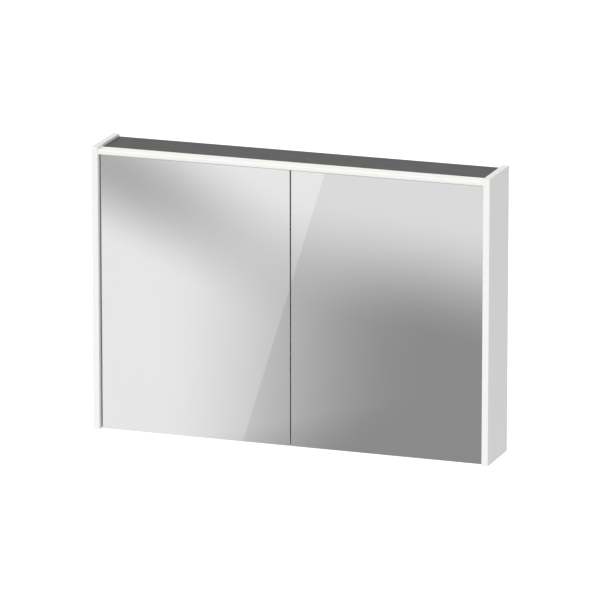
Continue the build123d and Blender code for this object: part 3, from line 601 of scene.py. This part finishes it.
# %% [markdown]
# ## Shelf pins
# Each shelf lies on four nickel pins: a round stud in the hole, a thin collar against the board,
# and a flat tongue under the glass with a rounded end. The stud and the collar are short cones,
# and the tongue is a block whose two end corners are bevelled round. All of it is modelled once,
# pointing up, and stamped wherever the frame has a pin.

# %% Shelf pins
STUD_RADIUS = 2.45 * MM
STUD_TIP_RADIUS = 0.85 * STUD_RADIUS
STUD_LENGTH = 6.5 * MM
COLLAR_RADIUS = 3.6 * MM
COLLAR_RIM_RADIUS = 0.9 * COLLAR_RADIUS
COLLAR_THICKNESS = 0.8 * MM
TONGUE_WIDTH = 7.0 * MM
TONGUE_HEIGHT = 3.5 * MM
TONGUE_LENGTH = 8.0 * MM
TONGUE_ROUND = 2.6 * MM
TONGUE_STEPS = 6
ROUND_SEGMENTS = 24
COMPARTMENT_MIDDLE = 250.0 * MM


def round_post(bm, low_radius, high_radius, bottom, top):
    """A round post between two heights, which may taper."""
    return bmesh.ops.create_cone(
        bm, cap_ends=True, segments=ROUND_SEGMENTS, radius1=low_radius, radius2=high_radius,
        depth=top - bottom, matrix=Matrix.Translation((0, 0, (bottom + top) / 2)),
    )["verts"]


def round_off(bm, edges, offset, steps):
    """Bevel edges round."""
    bmesh.ops.bevel(
        bm, geom=edges, offset=offset, affect="EDGES", segments=steps, profile=0.5, material=-1
    )


def pin_shape():
    """One pin that points out of its hole along Z, with the shelf on its Y side."""
    bm = bmesh.new()
    size = Matrix.Diagonal((TONGUE_WIDTH, TONGUE_HEIGHT, TONGUE_LENGTH, 1))
    bmesh.ops.create_cube(bm, matrix=Matrix.Translation((0, 0, TONGUE_LENGTH / 2)) @ size)
    corners = [
        edge for edge in bm.edges
        if min(vert.co.z for vert in edge.verts) > TONGUE_LENGTH - MERGE
        and abs(edge.verts[0].co.x - edge.verts[1].co.x) < MERGE
    ]
    round_off(bm, corners, TONGUE_ROUND, TONGUE_STEPS)
    round_post(bm, STUD_TIP_RADIUS, STUD_RADIUS, -STUD_LENGTH, 0)
    collar = round_post(bm, COLLAR_RADIUS, COLLAR_RIM_RADIUS, 0, COLLAR_THICKNESS)
    flat = Matrix.Diagonal((1, TONGUE_HEIGHT / (2 * COLLAR_RADIUS), 1, 1))
    bmesh.ops.transform(bm, matrix=flat, verts=collar)
    return mesh_from("pin_shape", bm)


bm = bmesh.new()
shape = pin_shape()
for low, high in islands("shelf_pins"):
    middle = (low + high) / 2
    outward = inward(middle) if abs(middle.x) > COMPARTMENT_MIDDLE else -inward(middle)
    deep_end = middle - outward * (high.x - low.x) / 2
    stamp(bm, shape, toward(deep_end + outward * STUD_LENGTH, outward))
bpy.data.meshes.remove(shape)
finish_piece("round_shelf_pins", bm, "nickel_steel", "carcass", "shelf_pins")

# %% [markdown]
# ## Door bumpers
# Soft silicone dots on the divider catch the doors. A dot is a short post with its front rim
# bevelled in several steps until it is a dome.

# %% Door bumpers
BUMPER_ROUND = 1.8 * MM
BUMPER_STEPS = 5
bm = bmesh.new()
for low, high in islands("door_bumpers"):
    radius = (high.x - low.x) / 2
    dot = bmesh.new()
    round_post(dot, radius, radius, 0, high.y - low.y)
    rim = [edge for edge in dot.edges if min(vert.co.z for vert in edge.verts) > MERGE]
    round_off(dot, rim, BUMPER_ROUND, BUMPER_STEPS)
    shape = mesh_from("dot_shape", dot)
    middle = (low + high) / 2
    stamp(bm, shape, toward((middle.x, high.y, middle.z), (0, -1, 0)))
    bpy.data.meshes.remove(shape)
finish_piece("domed_bumpers", bm, "clear_silicone", "carcass", "door_bumpers")

# %% [markdown]
# ## Leads in the service space
# A thin lead runs from the driver to the light bar, and a thicker one from the terminal box down
# to the switch unit. A lead is flexible, so it bends in one smooth line: a NURBS curve with a
# round section and a few control points follows the route better than straight runs would. The
# routes are in millimetres, and leave room for bends that such a lead can make.

# %% Leads
CURVE_STEPS = 16
SECTION_STEPS = 6
LIGHT_LEAD_WIDTH = 3.2 * MM
UNIT_LEAD_WIDTH = 5.0 * MM
LIGHT_ROUTE = (
    (-65, -51.65, 92), (-20, -51.65, 92), (0, -58, 94), (0, -83, 107.7), (0, -100, 107.7), (0, -115, 107.7),
)
UNIT_ROUTE = (
    (158, -42, 92), (138, -42, 92), (104, -42, 107.5), (84.5, -42, 107.5),
    (71, -42, 94), (71, -42, 75), (71, -42, 60),
)


def line_length(piece):
    """The length of a curve that has no thickness yet."""
    bpy.context.view_layer.update()
    line = bpy.data.meshes.new_from_object(piece.evaluated_get(bpy.context.evaluated_depsgraph_get()))
    points = [vert.co for vert in line.vertices]
    length = sum((points[edge.vertices[0]] - points[edge.vertices[1]]).length for edge in line.edges)
    bpy.data.meshes.remove(line)
    return length


def lead(name, route, diameter, replaced):
    """A round lead along a smooth curve; it prints the length that the curve really has."""
    points = [Vector(point) * MM for point in route]
    curve = bpy.data.curves.new(name, "CURVE")
    curve.dimensions = "3D"
    spline = curve.splines.new("NURBS")
    spline.points.add(len(points) - 1)
    for control, point in zip(spline.points, points):
        control.co = (*point, 1.0)
    spline.order_u = 3
    spline.use_endpoint_u = True
    spline.resolution_u = CURVE_STEPS
    piece = show(name, curve)
    length = line_length(piece)
    curve.bevel_depth = diameter / 2
    curve.bevel_resolution = SECTION_STEPS
    dress(piece, "cable_rubber")
    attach(piece, "carcass")
    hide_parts(replaced)
    print("made", name, "of", round(length / MM), "mm")


lead("light_lead", LIGHT_ROUTE, LIGHT_LEAD_WIDTH, "led_lead")
lead("unit_lead", UNIT_ROUTE, UNIT_LEAD_WIDTH, "switch_lead")

# %% [markdown]
# ## Floor
# The cabinet hangs a little over a metre above a pale floor, as it would on a wall. The floor is a
# plain grid with a soft white finish. It glows a little, but only where a camera, a mirror or a
# glass sees it straight, so that it looks white and yet keeps its shadows and lights nothing.

# %% Floor
FLOOR_Z = -1.75
FLOOR_SIZE = 30.0
FLOOR_GLOW = 0.5


def seen_directly(tree):
    """1 for rays from the camera, from mirrors and through glass, and 0 for soft light."""
    path = add(tree, "ShaderNodeLightPath").outputs
    direct = calc(tree, "MAXIMUM", path["Is Camera Ray"], path["Is Glossy Ray"])
    return calc(tree, "MAXIMUM", direct, path["Is Transmission Ray"])


bm = bmesh.new()
ground_level = Matrix.Translation((0, 0, FLOOR_Z))
bmesh.ops.create_grid(bm, x_segments=2, y_segments=2, size=FLOOR_SIZE, matrix=ground_level)
floor = show("floor", mesh_from("floor", bm))
material, tree, shader = new_finish(
    "floor_white", color=(0.8, 0.8, 0.8), roughness=0.9, Emission_Color=(1, 1, 1, 1)
)
wear = noise(tree, scale=3.0)
wire(tree, tint(tree, wear, dark=(0.79, 0.79, 0.79), light=(0.81, 0.81, 0.81)), shader, "Base Color")
wire(tree, between(tree, seen_directly(tree), 0.0, FLOOR_GLOW), shader, "Emission Strength")
floor.data.materials.append(material)
print("floor at", FLOOR_Z)

# %% [markdown]
# ## World
# The world is the even light of a white studio. It is white where it is seen straight, and a
# little weaker as soft light, so that white boards keep their shading. A photograph of a studio
# could light the scene too, but then every reflection would show that studio.

# %% World
WORLD_LEVEL = 0.72
world = bpy.data.worlds.new("studio")
scene.world = world
world.use_nodes = True
tree = world.node_tree
background = tree.nodes["Background"]
background.inputs["Color"].default_value = (1, 1, 1, 1)
wire(tree, between(tree, seen_directly(tree), WORLD_LEVEL, 1.0), background, "Strength")
print("world level", WORLD_LEVEL)

# %% [markdown]
# ## Lights
# One broad sun from the front left and above brightens the front edges and leaves the right side a
# little darker, as in the photograph. Its wide angle keeps shadows soft. Together with the world
# it stays at a plain level, so that a colour renders about as it is written.

# %% Lights
SUN_STRENGTH = 1.22
SUN_ANGLE = math.radians(50)
SUN_TOWARD = Vector((0.2, 0.9, -0.55))
lamp = bpy.data.lights.new("front_light", "SUN")
lamp.energy = SUN_STRENGTH
lamp.angle = SUN_ANGLE
show("front_light", lamp).rotation_euler = SUN_TOWARD.to_track_quat("-Z", "Y").to_euler()
print("sun of", SUN_STRENGTH)

# %% [markdown]
# ## Camera
# The viewpoint was fitted to the cabinet's corners: nearly twenty degrees to the right, fifteen
# above, and through a very long lens, which leaves the edges almost parallel.

# %% Camera
YAW = math.radians(19.413)
PITCH = math.radians(14.668)
DISTANCE = 17.062
LENS = 428.8
SENSOR_WIDTH = 36.0
CLIP_END = 200.0
VIEW_TARGET = Vector((2.54, -74.0, -233.51)) * MM
back = Vector((math.sin(YAW) * math.cos(PITCH), -math.cos(YAW) * math.cos(PITCH), math.sin(PITCH)))
camera_data = bpy.data.cameras.new("camera")
camera_data.lens = LENS
camera_data.sensor_width = SENSOR_WIDTH
camera_data.clip_end = CLIP_END
camera = show("camera", camera_data)
camera.location = VIEW_TARGET + back * DISTANCE
camera.rotation_euler = (-back).to_track_quat("-Z", "Y").to_euler()
scene.camera = camera
scene.view_settings.view_transform = "Standard"
print("camera at", [round(value, 3) for value in camera.location])

# %% [markdown]
# ## What the mirrors see
# A mirror has no look of its own: it shows what stands in front of it. Here that is a large studio
# card, out of the camera's view. It is shown to reflected rays only, so it neither lights the
# cabinet nor shades it. A point of the card is seen at one point of the mirrors, which the camera's
# mirror image gives, so the card's size, and later its tones, can be given in the cabinet's own
# metres.

# %% Reflection card
CARD_Y = -2.0
CARD_MARGIN = 0.4
mirror_low, mirror_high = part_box("left_front_mirror")[0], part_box("right_front_mirror")[1]
image = Vector((camera.location.x, 2 * mirror_low.y - camera.location.y, camera.location.z))
growth = (CARD_Y - mirror_low.y) / (mirror_low.y - image.y)


def on_card(x, z):
    """The card's point that the camera sees at a point of the mirrors."""
    return Vector((x + (x - image.x) * growth, CARD_Y, z + (z - image.z) * growth))


def show_to_mirrors_only(backdrop):
    """Hide a backdrop from all rays but reflected ones."""
    backdrop.visible_camera = False
    backdrop.visible_diffuse = False
    backdrop.visible_transmission = False
    backdrop.visible_shadow = False


low = on_card(mirror_low.x - CARD_MARGIN, mirror_low.z - CARD_MARGIN)
high = on_card(mirror_high.x + CARD_MARGIN, mirror_high.z + CARD_MARGIN)
upright = Matrix.Translation((low + high) / 2) @ Matrix.Rotation(math.pi / 2, 4, "X")
card_size = Matrix.Diagonal((high.x - low.x, high.z - low.z, 1, 1))
bm = bmesh.new()
bmesh.ops.create_grid(bm, x_segments=1, y_segments=1, size=0.5, matrix=upright @ card_size)
card = show("reflection_card", mesh_from("reflection_card", bm))
show_to_mirrors_only(card)
print("card from", [round(value, 2) for value in low], "to", [round(value, 2) for value in high])

# %% [markdown]
# ## Tones of the card
# The card has soft tones and one straight light edge that runs across both doors. They are plain
# ramps: a dark streak at the top left, a dark lower right, and a lighter part to the left of the
# edge. Round its rim the card fades away, so that no hard edge of it shows from another side. The
# tones are written as they look on a screen, so a power turns them into light at the end.

# %% Ramps for the card
def glowing_finish(name):
    """A material with no shader yet, for a backdrop that shines by itself."""
    material = bpy.data.materials.new(name)
    material.use_nodes = True
    tree = material.node_tree
    tree.nodes.remove(tree.nodes["Principled BSDF"])
    return material, tree, tree.nodes["Material Output"]


material, tree, output = glowing_finish("card_tones")
shrink = 1 / (1 + growth)
spot = add(
    tree, "ShaderNodeMapping", Vector=add(tree, "ShaderNodeTexCoord").outputs["Object"],
    Scale=(shrink, 1, shrink), Location=(image.x * growth * shrink, 0, image.z * growth * shrink),
).outputs["Vector"]


def ramp_along(start, end, kind="SMOOTHSTEP"):
    """0 before one point of the mirrors and 1 after another, in the cabinet's metres."""
    start, end = Vector((start[0], 0, start[1])), Vector((end[0], 0, end[1]))
    way = (end - start) / (end - start).length_squared
    along = add(tree, "ShaderNodeVectorMath", {"operation": "DOT_PRODUCT"}, _0=spot, _1=way)
    first = start.dot(way)
    ramp = add(
        tree, "ShaderNodeMapRange", {"interpolation_type": kind},
        Value=along.outputs["Value"], From_Min=first, From_Max=first + 1,
    )
    return ramp.outputs["Result"]


def fall_along(start, end, kind="SMOOTHSTEP"):
    """1 before one point of the mirrors and 0 after another."""
    return calc(tree, "SUBTRACT", 1.0, ramp_along(start, end, kind))


def across(start, end):
    """The direction at a right angle to a line, to the left of one who walks along it."""
    return Vector((start.y - end.y, end.x - start.x)).normalized()


print("card tones are", round(shrink, 3), "of their size on the card")

# %% Tones of the card
EDGE_TOP, EDGE_FOOT = Vector((0.082, 0.087)), Vector((-0.1205, -0.576))
EDGE_BLUR = 2 * MM
STREAK_START, STREAK_END = Vector((-0.47, 0.075)), Vector((0.13, -0.197))
STREAK_HALF_WIDTH = 0.178
BASE_TONE, EDGE_LIFT, STREAK_DEPTH, CORNER_DEPTH = 0.848, 0.052, 0.228, 0.31
SILVER_LOSS = 0.92
DISPLAY_GAMMA = 2.2
left_of_edge = fall_along(EDGE_TOP, EDGE_TOP + across(EDGE_TOP, EDGE_FOOT) * EDGE_BLUR, "LINEAR")
half_streak = across(STREAK_START, STREAK_END) * STREAK_HALF_WIDTH
above = fall_along(STREAK_START, STREAK_START + half_streak)
below = fall_along(STREAK_START, STREAK_START - half_streak)
fading = fall_along(STREAK_START, STREAK_END)
streak = calc(tree, "MULTIPLY", calc(tree, "MULTIPLY", above, below), fading)
lower = ramp_along((0.25, 0.03), (0.22, -0.28))
rightward = ramp_along((-0.355, -0.33), (0.345, -0.38))
downward = ramp_along((-0.16, -0.4), (0.1, -0.66))
corner = calc(tree, "MULTIPLY", lower, calc(tree, "MAXIMUM", rightward, downward))
tone = calc(tree, "MULTIPLY_ADD", left_of_edge, EDGE_LIFT, BASE_TONE)
tone = calc(tree, "SUBTRACT", tone, calc(tree, "MULTIPLY", streak, STREAK_DEPTH))
tone = calc(tree, "SUBTRACT", tone, calc(tree, "MULTIPLY", corner, CORNER_DEPTH))
light = calc(tree, "DIVIDE", calc(tree, "POWER", tone, DISPLAY_GAMMA), SILVER_LOSS)
shine = add(tree, "ShaderNodeEmission", Strength=light)
print("card tones from", BASE_TONE - CORNER_DEPTH, "to", BASE_TONE + EDGE_LIFT)

# %% Rim of the card
from_left = ramp_along((mirror_low.x - CARD_MARGIN, 0), (mirror_low.x, 0))
from_right = ramp_along((mirror_high.x + CARD_MARGIN, 0), (mirror_high.x, 0))
from_foot = ramp_along((0, mirror_low.z - CARD_MARGIN), (0, mirror_low.z))
from_top = ramp_along((0, mirror_high.z + CARD_MARGIN), (0, mirror_high.z))
sideways = calc(tree, "MULTIPLY", from_left, from_right)
upright_fade = calc(tree, "MULTIPLY", from_foot, from_top)
solid = calc(tree, "MULTIPLY", sideways, upright_fade)
clear = add(tree, "ShaderNodeBsdfTransparent")
sheet = add(tree, "ShaderNodeMixShader", _0=solid, _1=clear.outputs[0], _2=shine.outputs[0])
wire(tree, sheet.outputs[0], output, "Surface")
card.data.materials.append(material)
print("card fades over", CARD_MARGIN)

# %% [markdown]
# ## What the mirrors see from other sides
# From anywhere else the doors would mirror nothing but the white studio and vanish against it. A
# photographer would hang grey cloth round the set. Here that is a cove, a round floor that turns up
# into a low wall: one bent line, spun about the Z axis. Its grey grows darker away from the cabinet
# and lighter again up the wall, so the doors show a soft gradient from every side.

# %% Studio cove
COVE_RADIUS = 12.0
COVE_HEIGHT = 4.0
COVE_LIFT = 0.002
COVE_STEPS = 64
foot_z = FLOOR_Z + COVE_LIFT
rim_z = foot_z + COVE_HEIGHT
bm = bmesh.new()
bend = [bm.verts.new(point) for point in ((0, 0, foot_z), (COVE_RADIUS, 0, foot_z), (COVE_RADIUS, 0, rim_z))]
runs = [bm.edges.new(pair) for pair in zip(bend, bend[1:])]
bmesh.ops.spin(
    bm, geom=bend + runs, cent=(0, 0, 0), axis=(0, 0, 1), angle=2 * math.pi, steps=COVE_STEPS, use_merge=True
)
bmesh.ops.remove_doubles(bm, verts=bm.verts, dist=MERGE)
cove = show("studio_cove", mesh_from("studio_cove", bm))
show_to_mirrors_only(cove)
print("cove of", len(cove.data.polygons), "faces")

# %% Grey of the cove
NEAR_TONE, FAR_TONE, TOP_TONE = 0.64, 0.36, 0.6
material, tree, output = glowing_finish("cove_grey")
reach = add(tree, "ShaderNodeVectorMath", {"operation": "LENGTH"}, _0=place(tree, (1, 1, 0)))
ground = add(
    tree, "ShaderNodeMapRange", Value=reach.outputs["Value"],
    From_Max=COVE_RADIUS, To_Min=NEAR_TONE, To_Max=FAR_TONE,
)
height = add(tree, "ShaderNodeSeparateXYZ", Vector=place(tree)).outputs[ALONG_Z]
climb = add(
    tree, "ShaderNodeMapRange", Value=height, From_Min=foot_z, From_Max=rim_z, To_Max=TOP_TONE - FAR_TONE
)
grey = calc(tree, "ADD", ground.outputs["Result"], climb.outputs["Result"])
shine = add(tree, "ShaderNodeEmission", Strength=grey)
wire(tree, shine.outputs[0], output, "Surface")
cove.data.materials.append(material)
print("cove tones", NEAR_TONE, FAR_TONE, TOP_TONE)

# %% [markdown]
# ## Finish
# The last cell brings the scene up to date.

# %% Finish
bpy.context.view_layer.update()
